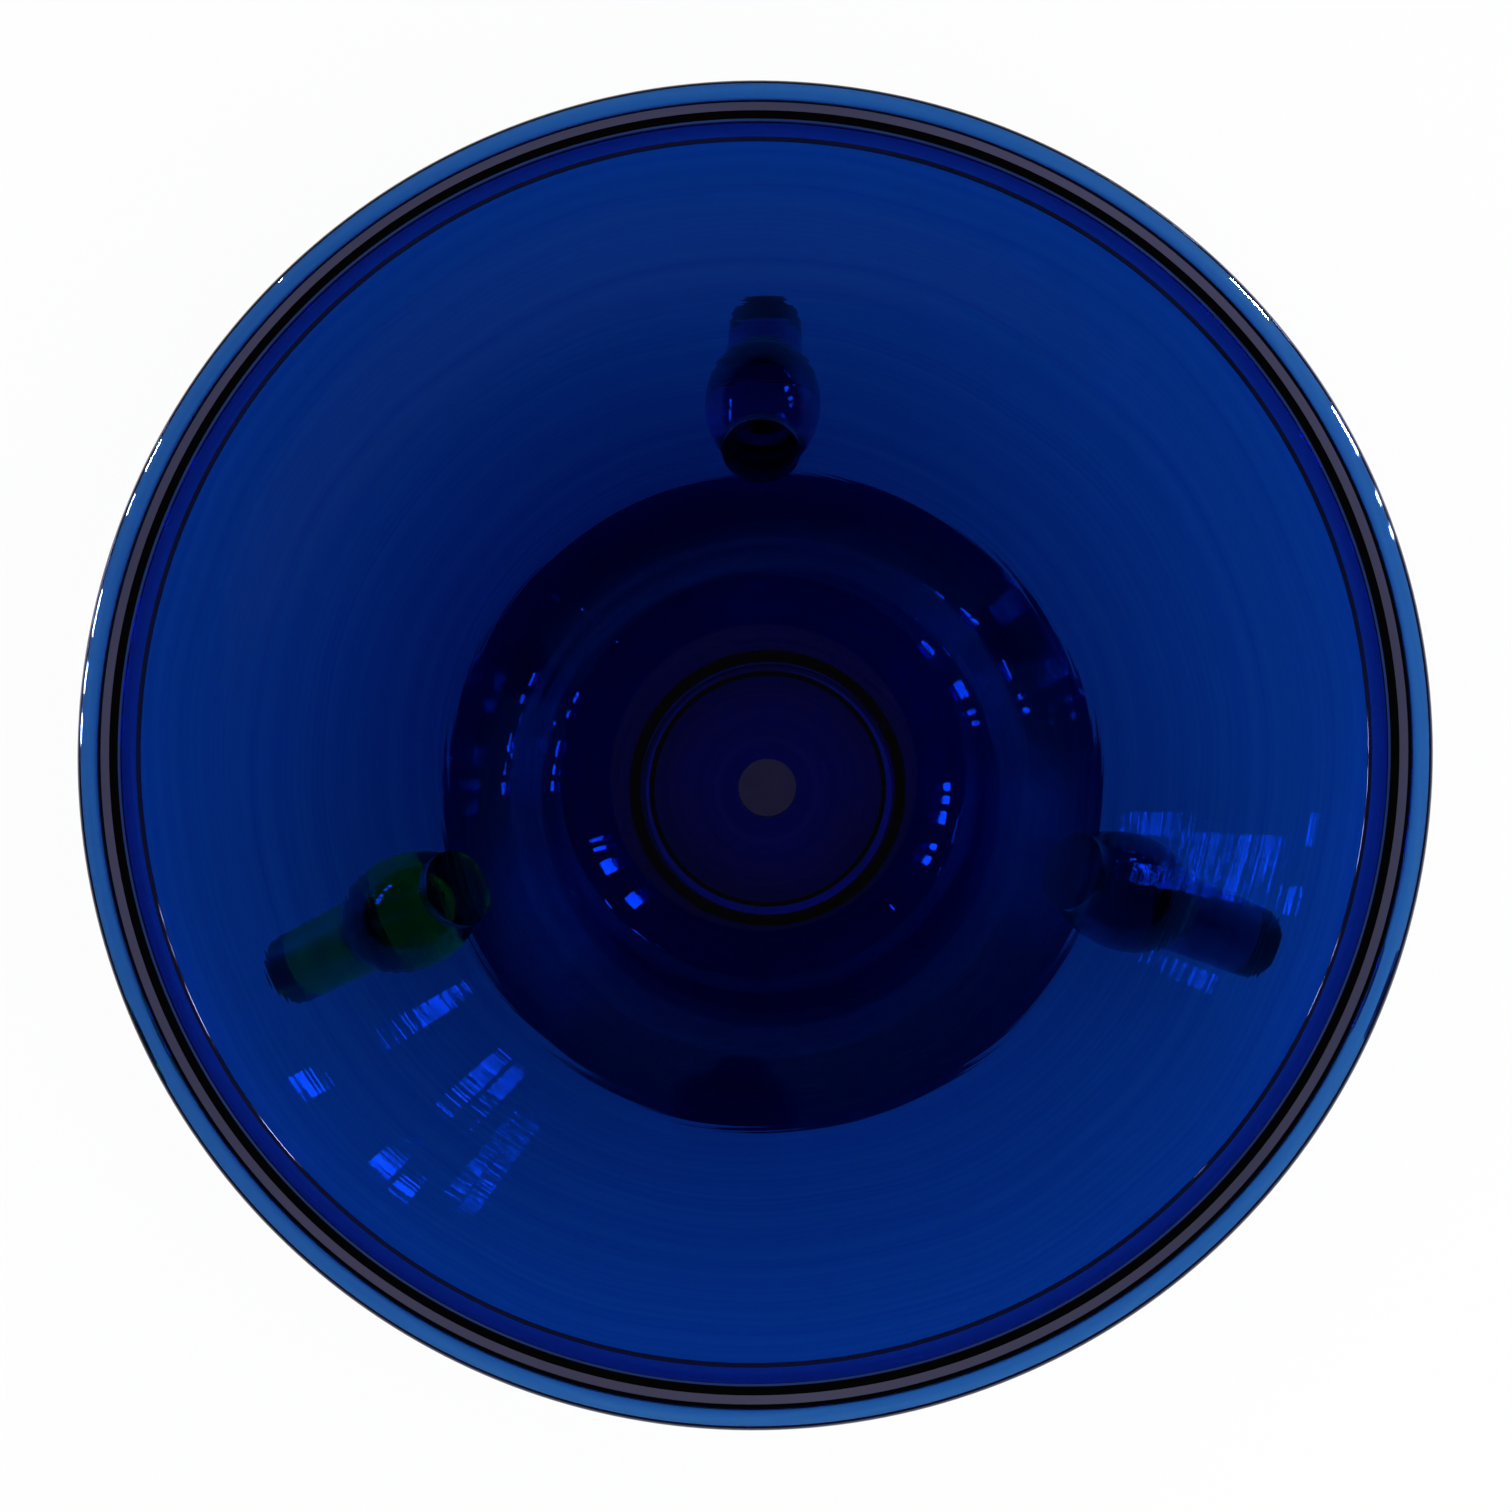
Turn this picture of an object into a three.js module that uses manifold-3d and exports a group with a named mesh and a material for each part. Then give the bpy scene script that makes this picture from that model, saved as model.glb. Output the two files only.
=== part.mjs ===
// A blown glass bowl on a spreading foot, with a flat-topped lip and three coloured lugs.
// Millimetres, +Z up. The origin is the middle of the ring on which the foot stands.
import * as THREE from 'three';
import { mergeVertices } from 'three/addons/utils/BufferGeometryUtils.js';
import Module from 'manifold-3d';

const manifold = await Module();
manifold.setup();

// Glass parts that are fused on the real bowl stand this far apart
const SEAT_GAP = 0.3;

// Bowl: overall sizes, lip, wall and floor
const BOWL_HEIGHT = 168;
const LIP_DIAMETER = 300;
const LIP_WIDTH = 13.8;
const LIP_INNER_GLASS = 2;
const LIP_OUTER_GLASS = 3.2;
const LIP_CROWN_RADIUS = 20;
const LIP_FILLET = 1.2;
const WALL_GLASS = 4.4;
const WALL_LOWER_SLOPE = THREE.MathUtils.degToRad(52);
const WALL_LOWER_REACH = 70;
const WALL_UPPER_REACH = 14;
const FLOOR_DIAMETER = 30;
const FLOOR_GLASS = 7;
const CORNER_RADIUS = 52;

// Foot: a spreading skirt that stands on its turned-out rim, open in the middle
const FOOT_DIAMETER = 187;
const FOOT_HEIGHT = 26;
const FOOT_GLASS = 4.5;
const FOOT_RIM_WIDTH = 10;
const FOOT_PLATEAU_DIAMETER = 92;
const FOOT_SHOULDER_REACH = 24;
const FOOT_FLARE_REACH = 16;

// Collar: the ring of glass between foot and bowl. It is made to its full height, then cut back
// to the bowl's round bottom, whose flat middle hangs over the foot by the rise
const COLLAR_DIAMETER = 77.5;
const COLLAR_GLASS = 4.85;
const COLLAR_HEIGHT = 16;
const COLLAR_BULGE = 1.4;
const FLOOR_RISE = 7.1;

// Button: the small ground disc let into the middle of the floor
const BUTTON_DIAMETER = 15.6;
const BUTTON_HEIGHT = 1.5;
const BUTTON_EDGE = 0.4;
const BUTTON_RECESS_DEPTH = 1.2;

// Lugs: eggs of solid glass, stuck square to the wall's outside face
const LUG_SEAT_RADIUS = 83;
const LUG_WIDTH = 30.2;
const LUG_LENGTH = 43;
const LUG_PAD_WIDTH = 24;
const LUG_PAD_HEIGHT = 2.6;
const LUG_PAD_FLARE = 1.4;
const LUG_NECK_WIDTH = 20.2;
const LUG_CAP_WIDTH = 23.4;
const LUG_TIP_WIDTH = 20.4;
const LUG_TIP_END_WIDTH = 19.4;
const LUG_TIP_EDGE = 2;
const LONG_TIP = 36;
const SHORT_TIP = 20;
const LUGS = [
  { name: 'amethyst', azimuth: 90, tipLength: SHORT_TIP, colour: 0x2c0c52 },
  { name: 'green', azimuth: 201, tipLength: LONG_TIP, colour: 0x0a5a2a },
  { name: 'smoke', azimuth: 342, tipLength: LONG_TIP, colour: 0x0b1030 },
];

// Facets
const ROUND_SEGMENTS = 56;
const BUTTON_SEGMENTS = 28;
const LUG_SEGMENTS = 20;
const CORNER_STEPS = 7;
const WALL_STEPS = 8;
const CROWN_STEPS = 2;
const FILLET_STEPS = 2;
const EDGE_STEPS = 4;
const FOOT_STEPS = 7;
const COLLAR_STEPS = 6;
const LUG_STEPS = 8;
const CAP_STEPS = 2;

// Colours of the glass
const COBALT = 0x0a2a8c;
const GROUND_GREY = 0x77757f;

function glass(colour, roughness = 0.05) {
  return new THREE.MeshStandardMaterial({ color: colour, roughness, metalness: 0 });
}

function named(name, geometry, material) {
  const mesh = new THREE.Mesh(geometry, material);
  mesh.name = name;
  return mesh;
}

function at(radius, height) {
  return new THREE.Vector2(radius, height);
}

// The point at a share of a curve, moved square off it by a glass thickness that changes evenly
// from one end of the curve to the other
function skinPoint(curve, share, startGlass, endGlass) {
  const point = curve.getPoint(share);
  const along = curve.getTangent(share);
  const thickness = THREE.MathUtils.lerp(startGlass, endGlass, share);
  return at(point.x + along.y * thickness, point.y - along.x * thickness);
}

function skin(curve, steps, startGlass = 0, endGlass = startGlass) {
  const points = [];
  for (let step = 0; step <= steps; step += 1) {
    points.push(skinPoint(curve, step / steps, startGlass, endGlass));
  }
  return points;
}

function arc(centre, radius, fromAngle, toAngle, steps) {
  const clockwise = toAngle < fromAngle;
  return skin(new THREE.ArcCurve(centre.x, centre.y, radius, fromAngle, toAngle, clockwise), steps);
}

function dropDoubles(points) {
  const tooClose = 1e-4;
  return points.filter((point, i) => i === 0 || point.distanceTo(points[i - 1]) > tooClose);
}

// Turns an outline, given as radius and height and listed clockwise, about the Z axis.
// A lathe faces outwards when its points run the other way.
function revolve(outline, segments) {
  const geometry = new THREE.LatheGeometry(dropDoubles(outline).reverse(), segments);
  geometry.rotateX(Math.PI / 2);
  return closed(geometry);
}

// Merges the seam and the points on the axis, and drops the triangles that this collapses
function closed(geometry) {
  const bare = geometry.clone();
  bare.deleteAttribute('normal');
  bare.deleteAttribute('uv');
  const merged = mergeVertices(bare);
  const corners = merged.index.array;
  const kept = [];
  for (let i = 0; i < corners.length; i += 3) {
    const [a, b, c] = [corners[i], corners[i + 1], corners[i + 2]];
    if (a !== b && b !== c && c !== a) kept.push(a, b, c);
  }
  merged.setIndex(kept);
  merged.computeVertexNormals();
  return merged;
}

function toSolid(geometry) {
  return new manifold.Manifold(new manifold.Mesh({
    numProp: 3,
    vertProperties: Float32Array.from(geometry.attributes.position.array),
    triVerts: Uint32Array.from(geometry.index.array),
  }));
}

function fromSolid(solid) {
  const mesh = solid.getMesh();
  const geometry = new THREE.BufferGeometry();
  geometry.setAttribute('position', new THREE.BufferAttribute(mesh.vertProperties, 3));
  geometry.setIndex(new THREE.BufferAttribute(mesh.triVerts, 1));
  geometry.computeVertexNormals();
  return geometry;
}

// Heights of the stack, and the bore that foot and collar share
const collarBottom = FOOT_HEIGHT + SEAT_GAP;
const floorBottom = FOOT_HEIGHT + FLOOR_RISE;
const floorTop = floorBottom + FLOOR_GLASS;
const boreRadius = COLLAR_DIAMETER / 2 - COLLAR_GLASS;

// The lip in section: a shallow crown that runs smoothly into a rounded edge on either side
const crownCentre = at((LIP_DIAMETER - LIP_WIDTH) / 2, BOWL_HEIGHT - LIP_CROWN_RADIUS);

function lipEdge(side, thickness) {
  const radius = thickness / 2;
  const offset = side * (LIP_WIDTH / 2 - radius);
  const rise = Math.sqrt((LIP_CROWN_RADIUS - radius) ** 2 - offset ** 2);
  const centre = at(crownCentre.x + offset, crownCentre.y + rise);
  return { centre, radius, crownEnd: Math.atan2(rise, offset), underside: centre.y - radius };
}

const innerEdge = lipEdge(-1, LIP_INNER_GLASS);
const outerEdge = lipEdge(1, LIP_OUTER_GLASS);

// The wall stands upright under the middle of the lip
const wallTop = at(crownCentre.x - WALL_GLASS / 2, outerEdge.underside - LIP_FILLET);

// The wall's inside face: a round corner off the flat floor, then one long curve up to the lip
const cornerCentre = at(FLOOR_DIAMETER / 2, floorTop + CORNER_RADIUS);
const cornerCurve = new THREE.ArcCurve(
  cornerCentre.x, cornerCentre.y, CORNER_RADIUS, -Math.PI / 2, WALL_LOWER_SLOPE - Math.PI / 2, false,
);
const cornerEnd = cornerCurve.getPoint(1);
const slopeUp = at(Math.cos(WALL_LOWER_SLOPE), Math.sin(WALL_LOWER_SLOPE));
const wallCurve = new THREE.CubicBezierCurve(
  cornerEnd,
  cornerEnd.clone().addScaledVector(slopeUp, WALL_LOWER_REACH),
  at(wallTop.x, wallTop.y - WALL_UPPER_REACH),
  wallTop,
);

// The wall's outside face, stood off by an extra gap where another piece is cut to it
function outsideFace(extra = 0) {
  return [
    ...skin(cornerCurve, CORNER_STEPS, FLOOR_GLASS + extra, WALL_GLASS + extra),
    ...skin(wallCurve, WALL_STEPS, WALL_GLASS + extra),
  ];
}

// The lip's outline, from the top of the wall's inside face over the lip to its outside face
function lipOutline() {
  const fullTurn = 2 * Math.PI;
  const quarter = Math.PI / 2;
  const innerFillet = at(wallTop.x - LIP_FILLET, innerEdge.underside - LIP_FILLET);
  const outerFillet = at(wallTop.x + WALL_GLASS + LIP_FILLET, outerEdge.underside - LIP_FILLET);
  return [
    ...arc(innerFillet, LIP_FILLET, 0, quarter, FILLET_STEPS),
    ...arc(innerEdge.centre, innerEdge.radius, -quarter, innerEdge.crownEnd - fullTurn, EDGE_STEPS),
    ...arc(crownCentre, LIP_CROWN_RADIUS, innerEdge.crownEnd, quarter, CROWN_STEPS),
    ...arc(crownCentre, LIP_CROWN_RADIUS, quarter, outerEdge.crownEnd, CROWN_STEPS),
    ...arc(outerEdge.centre, outerEdge.radius, outerEdge.crownEnd, 0, EDGE_STEPS),
    ...arc(outerEdge.centre, outerEdge.radius, 0, -quarter, EDGE_STEPS),
    ...arc(outerFillet, LIP_FILLET, quarter, Math.PI, FILLET_STEPS),
  ];
}

function bowlGeometry() {
  const recessRadius = BUTTON_DIAMETER / 2 + SEAT_GAP;
  const recessFloor = floorTop - BUTTON_RECESS_DEPTH;
  return revolve([
    at(0, recessFloor),
    at(recessRadius, recessFloor),
    at(recessRadius, floorTop),
    ...skin(cornerCurve, CORNER_STEPS),
    ...skin(wallCurve, WALL_STEPS),
    ...lipOutline(),
    ...outsideFace().reverse(),
    at(0, floorBottom),
  ], ROUND_SEGMENTS);
}

function footGeometry() {
  const edgeRadius = FOOT_GLASS / 2;
  const flareStart = at(FOOT_DIAMETER / 2 - FOOT_RIM_WIDTH, FOOT_GLASS);
  const plateauEnd = at(FOOT_PLATEAU_DIAMETER / 2, FOOT_HEIGHT);
  const slope = new THREE.CubicBezierCurve(
    plateauEnd,
    at(plateauEnd.x + FOOT_SHOULDER_REACH, FOOT_HEIGHT),
    at(flareStart.x - FOOT_FLARE_REACH, FOOT_GLASS),
    flareStart,
  );
  return revolve([
    at(boreRadius, FOOT_HEIGHT),
    ...skin(slope, FOOT_STEPS),
    ...arc(at(FOOT_DIAMETER / 2 - edgeRadius, edgeRadius), edgeRadius, Math.PI / 2, -Math.PI / 2, EDGE_STEPS),
    ...skin(slope, FOOT_STEPS, FOOT_GLASS).reverse(),
    at(boreRadius, FOOT_HEIGHT - FOOT_GLASS),
    at(boreRadius, FOOT_HEIGHT),
  ], ROUND_SEGMENTS);
}

// Cuts a solid back to the wall's outside face, so that its end fits the curve
function cutToWall(geometry, geometryToBowl = new THREE.Matrix4()) {
  const stoodOff = outsideFace(SEAT_GAP);
  const wall = revolve([
    at(0, stoodOff.at(-1).y),
    ...stoodOff.reverse(),
    at(0, floorBottom - SEAT_GAP),
  ], ROUND_SEGMENTS);
  wall.applyMatrix4(geometryToBowl.clone().invert());
  return fromSolid(toSolid(geometry).subtract(toSolid(wall)));
}

function collarGeometry() {
  const halfHeight = COLLAR_HEIGHT / 2;
  const edge = new THREE.EllipseCurve(
    COLLAR_DIAMETER / 2 - COLLAR_BULGE, collarBottom + halfHeight,
    COLLAR_BULGE, halfHeight, Math.PI / 2, -Math.PI / 2, true,
  );
  const boreTop = at(boreRadius, collarBottom + COLLAR_HEIGHT);
  return cutToWall(revolve([
    boreTop,
    ...skin(edge, COLLAR_STEPS),
    at(boreRadius, collarBottom),
    boreTop,
  ], ROUND_SEGMENTS));
}

function buttonGeometry() {
  const bottom = floorTop - BUTTON_RECESS_DEPTH + SEAT_GAP;
  const top = bottom + BUTTON_HEIGHT;
  return revolve([
    at(0, top),
    at(BUTTON_DIAMETER / 2 - BUTTON_EDGE, top),
    at(BUTTON_DIAMETER / 2, top - BUTTON_EDGE),
    at(BUTTON_DIAMETER / 2, bottom),
    at(0, bottom),
  ], BUTTON_SEGMENTS);
}

// A lug is drawn along its own Z axis, from the wall's outside face at zero outwards.
// Its egg is an ellipsoid whose flat inner end has the width of the neck.
const neckStart = LUG_PAD_HEIGHT + SEAT_GAP;
const eggHalfLength = LUG_LENGTH / 2;

function eggReach(width) {
  return eggHalfLength * Math.sqrt(1 - (width / LUG_WIDTH) ** 2);
}

const eggCentre = neckStart + eggReach(LUG_NECK_WIDTH);
const bodyEnd = eggCentre + eggReach(LUG_CAP_WIDTH);
const capEnd = eggCentre + eggReach(LUG_TIP_WIDTH);

// The part of the egg between two places along its axis, listed clockwise
function eggSlice(start, end, steps) {
  const points = [at(0, end)];
  for (let step = 0; step <= steps; step += 1) {
    const place = THREE.MathUtils.lerp(end, start, step / steps);
    const reach = (place - eggCentre) / eggHalfLength;
    points.push(at((LUG_WIDTH / 2) * Math.sqrt(1 - reach ** 2), place));
  }
  points.push(at(0, start));
  return revolve(points, LUG_SEGMENTS);
}

function tipGeometry(length) {
  const start = capEnd + SEAT_GAP;
  const end = start + length;
  const endRadius = LUG_TIP_END_WIDTH / 2;
  return revolve([
    at(0, end),
    ...arc(at(endRadius - LUG_TIP_EDGE, end - LUG_TIP_EDGE), LUG_TIP_EDGE, Math.PI / 2, 0, EDGE_STEPS),
    at(LUG_TIP_WIDTH / 2, start),
    at(0, start),
  ], LUG_SEGMENTS);
}

// The pad starts inside the wall and is then cut back to it
function padGeometry(lugToBowl) {
  const insideWall = -WALL_GLASS;
  const pad = revolve([
    at(0, LUG_PAD_HEIGHT),
    at(LUG_PAD_WIDTH / 2 - LUG_PAD_FLARE, LUG_PAD_HEIGHT),
    at(LUG_PAD_WIDTH / 2, LUG_PAD_HEIGHT - LUG_PAD_FLARE),
    at(LUG_PAD_WIDTH / 2, insideWall),
    at(0, insideWall),
  ], LUG_SEGMENTS);
  return cutToWall(pad, lugToBowl);
}

// The share of the wall curve at which its outside face has a given radius
function wallShareAt(radius) {
  const halvings = 30;
  let low = 0;
  let high = 1;
  for (let i = 0; i < halvings; i += 1) {
    const middle = (low + high) / 2;
    const point = skinPoint(wallCurve, middle, WALL_GLASS, WALL_GLASS);
    if (point.x < radius) low = middle;
    else high = middle;
  }
  return low;
}

// A lug's frame: its Z axis points out of the wall, square to the wall's slope
function lugFrame(azimuth) {
  const share = wallShareAt(LUG_SEAT_RADIUS);
  const seat = skinPoint(wallCurve, share, WALL_GLASS, WALL_GLASS);
  const slope = wallCurve.getTangent(share).angle();
  const tilt = new THREE.Group();
  tilt.position.set(seat.x, 0, seat.y);
  tilt.rotation.y = Math.PI - slope;
  const turn = new THREE.Group();
  turn.rotation.z = THREE.MathUtils.degToRad(azimuth);
  turn.add(tilt);
  turn.updateMatrixWorld(true);
  return { turn, tilt };
}

function buildLug({ name, azimuth, tipLength, colour }) {
  const { turn, tilt } = lugFrame(azimuth);
  tilt.add(
    named(`${name}_lug_pad`, padGeometry(tilt.matrixWorld), glass(colour)),
    named(`${name}_lug_body`, eggSlice(neckStart, bodyEnd, LUG_STEPS), glass(colour)),
    named(`${name}_lug_cap`, eggSlice(bodyEnd + SEAT_GAP, capEnd, CAP_STEPS), glass(COBALT)),
    named(`${name}_lug_tip`, tipGeometry(tipLength), glass(colour)),
  );
  return turn;
}

const bowl = new THREE.Group();
bowl.add(
  named('bowl', bowlGeometry(), glass(COBALT)),
  named('foot', footGeometry(), glass(COBALT)),
  named('stem_collar', collarGeometry(), glass(COBALT)),
  named('centre_button', buttonGeometry(), glass(GROUND_GREY, 0.6)),
);
for (const lug of LUGS) bowl.add(buildLug(lug));

export default bowl;
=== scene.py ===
"""A blown glass bowl on a spreading foot, with a flat lip and three coloured lugs on its wall.

Metres, +Z up. The origin is the middle of the ring on which the foot stands.
"""

import math
import random

import bmesh
import bpy
from mathutils import Matrix, Vector


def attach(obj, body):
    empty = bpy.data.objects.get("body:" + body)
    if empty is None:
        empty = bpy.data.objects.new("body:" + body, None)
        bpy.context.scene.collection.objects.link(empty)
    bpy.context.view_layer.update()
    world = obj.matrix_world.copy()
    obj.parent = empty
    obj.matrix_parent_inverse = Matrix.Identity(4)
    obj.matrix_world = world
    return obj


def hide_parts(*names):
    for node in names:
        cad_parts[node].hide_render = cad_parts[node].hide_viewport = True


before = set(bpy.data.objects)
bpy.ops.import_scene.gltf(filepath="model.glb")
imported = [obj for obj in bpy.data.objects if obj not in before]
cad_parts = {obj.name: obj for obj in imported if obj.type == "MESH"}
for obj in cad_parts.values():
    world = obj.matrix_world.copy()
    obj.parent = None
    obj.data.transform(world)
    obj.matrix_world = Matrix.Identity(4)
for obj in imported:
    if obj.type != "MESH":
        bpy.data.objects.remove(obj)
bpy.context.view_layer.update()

# Foot. A bubble of cobalt glass, opened at both ends and spun out until its rim lay flat. It is
# fire polished all over, and the stem collar stands on the shoulder round its open middle.
FOOT_RADIUS = 0.0935
FOOT_BORE_RADIUS = 0.0339
FOOT_HEIGHT = 0.026
FOOT_GLASS = 0.0045
FOOT_RIM_WIDTH = 0.010
FOOT_CROWN_RADIUS = 0.046
FOOT_SHOULDER_REACH = 0.024
FOOT_FLARE_REACH = 0.016
FOOT_STEPS = 60
EDGE_STEPS = 14
SPIN_STEPS = 288
SHARP_EDGE = math.radians(50)

# How far a form turned by hand strays from true: the lobes round it, the least and most size of a
# lobe, how they twist with each metre of height, and the radius within which the stray fades out.
HAND_WAVE = 0.00022
WAVE_LOBES = (2, 3, 5)
WAVE_SIZES = (0.4, 1.0)
WAVE_TWIST = 30
WAVE_FULL_RADIUS = 0.03

# The turning rings wander a few spacings out of true. They are faint in the floor and boldest half
# way up the wall, given here as shares of the lip's radius with their depth there.
RINGS_OUTERMOST = 0.15
RINGS_OVER_RADIUS = ((0.42, 0.05), (0.52, 1.0), (0.71, 1.0), (0.78, 0.6))
RING_WANDER = 3.0
WANDER_SCALE = 14.0
SWELL_SCALE = 26.0
SMEAR_SCALE = 90.0
CORDS_FROM = 0.3
CORDS_TO = 0.7

GLASS_IOR = 1.5
ABSORB_MARGIN = 1.02
COBALT_ABSORBS = (1250.0, 640.0, 240.0)
COBALT_TINT = (1.0, 1.0, 1.0)
COBALT_CORD_TINT = (0.55, 0.74, 0.93)


def point(radius, height):
    return Vector((radius, height))


def bezier(p0, p1, p2, p3, steps):
    """Stations along a cubic curve: at each, the place and the unit direction along the curve."""
    stations = []
    for step in range(steps + 1):
        t = step / steps
        s = 1 - t
        place = s**3 * p0 + 3 * s * s * t * p1 + 3 * s * t * t * p2 + t**3 * p3
        along = 3 * s * s * (p1 - p0) + 6 * s * t * (p2 - p1) + 3 * t * t * (p3 - p2)
        stations.append((place, along.normalized()))
    return stations


def arc(centre, radius, start, end, steps):
    """Stations along a round arc, with angles in radians from the outward direction."""
    stations = []
    way = 1 if end > start else -1
    for step in range(steps + 1):
        angle = start + (end - start) * step / steps
        out = Vector((math.cos(angle), math.sin(angle)))
        stations.append((centre + radius * out, way * Vector((-out.y, out.x))))
    return stations


def skin(stations, start_glass=0.0, end_glass=None):
    """The stations' places, moved square off the curve by a glass thickness that may change
    evenly."""
    end_glass = start_glass if end_glass is None else end_glass
    last = len(stations) - 1
    points = []
    for i, (place, along) in enumerate(stations):
        glass = start_glass + (end_glass - start_glass) * i / last
        points.append(place + glass * Vector((along.y, -along.x)))
    return points


def turned(name, outline, seed, wave=HAND_WAVE, steps=SPIN_STEPS):
    """Spins an outline of radius and height about Z, and lets it stray a little inwards from true,
    as glass worked by hand does. An outline that doesn't start on the axis makes a closed ring."""
    chance = random.Random(seed)
    lobes = [(n, chance.uniform(0, math.tau), chance.uniform(*WAVE_SIZES) / n) for n in WAVE_LOBES]
    mesh = bmesh.new()
    rows = []
    for place in outline:
        if place.x < 1e-6:
            rows.append([mesh.verts.new((0, 0, place.y))])
            continue
        row = []
        for step in range(steps):
            angle = math.tau * step / steps
            stray = sum(size * (1 + math.sin(n * angle + phase + WAVE_TWIST * place.y))
                        for n, phase, size in lobes)
            radius = place.x - wave * stray * min(1.0, place.x / WAVE_FULL_RADIUS) / 2
            x, y = radius * math.cos(angle), radius * math.sin(angle)
            row.append(mesh.verts.new((x, y, place.y)))
        rows.append(row)
    onward = rows[1:] if len(rows[0]) == 1 else rows[1:] + rows[:1]
    for upper, lower in zip(rows, onward):
        for step in range(steps):
            after = (step + 1) % steps
            if len(upper) == 1 and len(lower) == 1:
                continue
            if len(upper) == 1:
                mesh.faces.new((upper[0], lower[step], lower[after]))
            elif len(lower) == 1:
                mesh.faces.new((upper[step], lower[0], upper[after]))
            else:
                mesh.faces.new((upper[step], lower[step], lower[after], upper[after]))
    bmesh.ops.recalc_face_normals(mesh, faces=mesh.faces[:])
    data = bpy.data.meshes.new(name)
    mesh.to_mesh(data)
    mesh.free()
    data.shade_smooth()
    data.set_sharp_from_angle(angle=SHARP_EDGE)
    piece = bpy.data.objects.new(name, data)
    bpy.context.scene.collection.objects.link(piece)
    return piece


def bare_material(name):
    material = bpy.data.materials.new(name)
    material.use_nodes = True
    material.node_tree.nodes.clear()
    return material


def add(tree, kind, place, *feeds, **values):
    """Adds a node. Names in small letters are its settings. Feeds fill its inputs in order, and
    names with a capital fill the input of that name, with a fixed value or another node's output."""
    node = tree.nodes.new(kind)
    node.location = place
    inputs = list(enumerate(feeds))
    for key, value in values.items():
        if key.islower():
            setattr(node, key, value)
        else:
            inputs.append((key.replace("_", " "), value))
    for socket, value in inputs:
        if isinstance(value, bpy.types.NodeSocket):
            tree.links.new(value, node.inputs[socket])
        else:
            node.inputs[socket].default_value = value
    return node


def reckon(tree, place, operation, *feeds):
    """The result of one Math node."""
    return add(tree, "ShaderNodeMath", place, *feeds, operation=operation).outputs[0]


def hand_worked_surface():
    """A node group for glass worked by hand: rings left by turning, slow swells, faint cords that
    follow the rings, and a polish that isn't quite even."""
    tree = bpy.data.node_groups.new("hand_worked_glass", "ShaderNodeTree")
    for label, default in (("Ring Spacing", 0.004), ("Ring Depth", 0.5), ("Swell", 0.5),
                           ("Polish", 0.01)):
        socket = tree.interface.new_socket(label, in_out="INPUT", socket_type="NodeSocketFloat")
        socket.default_value = default
    for label in ("Height", "Roughness", "Cords"):
        tree.interface.new_socket(label, in_out="OUTPUT", socket_type="NodeSocketFloat")
    given = add(tree, "NodeGroupInput", (-1200, 0)).outputs
    where = add(tree, "ShaderNodeTexCoord", (-1200, 300)).outputs["Object"]
    parts = add(tree, "ShaderNodeSeparateXYZ", (-1000, 300), where).outputs
    flat = add(tree, "ShaderNodeCombineXYZ", (-800, 420), parts["X"], parts["Y"]).outputs[0]
    length = add(tree, "ShaderNodeVectorMath", (-620, 420), flat, operation="LENGTH")
    radius = length.outputs["Value"]
    out_up = reckon(tree, (-440, 360), "ADD", radius, parts["Z"])
    along = reckon(tree, (-260, 360), "DIVIDE", out_up, given["Ring Spacing"])
    drift = add(tree, "ShaderNodeTexNoise", (-440, 160), Vector=where, Scale=WANDER_SCALE,
                Detail=1.0)
    wander = reckon(tree, (-80, 260), "MULTIPLY_ADD", drift.outputs[0], RING_WANDER, along)
    rings = add(tree, "ShaderNodeTexNoise", (100, 300), noise_dimensions="1D", W=wander, Scale=1.0,
                Detail=2.0, Roughness=0.5).outputs[0]
    share = reckon(tree, (-300, 560), "DIVIDE", radius, RINGS_OUTERMOST)
    calm = add(tree, "ShaderNodeValToRGB", (-120, 620), share)
    stops = calm.color_ramp.elements
    stops[0].position = RINGS_OVER_RADIUS[0][0]
    stops[1].position = RINGS_OVER_RADIUS[-1][0]
    for position, _ in RINGS_OVER_RADIUS[1:-1]:
        stops.new(position)
    for stop, (_, bold) in zip(stops, RINGS_OVER_RADIUS):
        stop.color = (bold, bold, bold, 1)
    depth = reckon(tree, (120, 480), "MULTIPLY", calm.outputs[0], given["Ring Depth"])
    ring_height = reckon(tree, (300, 260), "MULTIPLY", rings, depth)
    swell = add(tree, "ShaderNodeTexNoise", (-80, 20), Vector=where, Scale=SWELL_SCALE, Detail=0.0)
    height = reckon(tree, (480, 160), "MULTIPLY_ADD", swell.outputs[0], given["Swell"], ring_height)
    smear = add(tree, "ShaderNodeTexNoise", (-80, -240), Vector=where, Scale=SMEAR_SCALE,
                Detail=4.0)
    dull = reckon(tree, (300, -200), "MULTIPLY", smear.outputs[0], given["Polish"])
    cords = add(tree, "ShaderNodeMapRange", (300, 0), Value=rings, From_Min=CORDS_FROM,
                From_Max=CORDS_TO)
    add(tree, "NodeGroupOutput", (700, 0), Height=height, Roughness=dull, Cords=cords.outputs[0])
    return tree


surface_group = hand_worked_surface()


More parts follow.
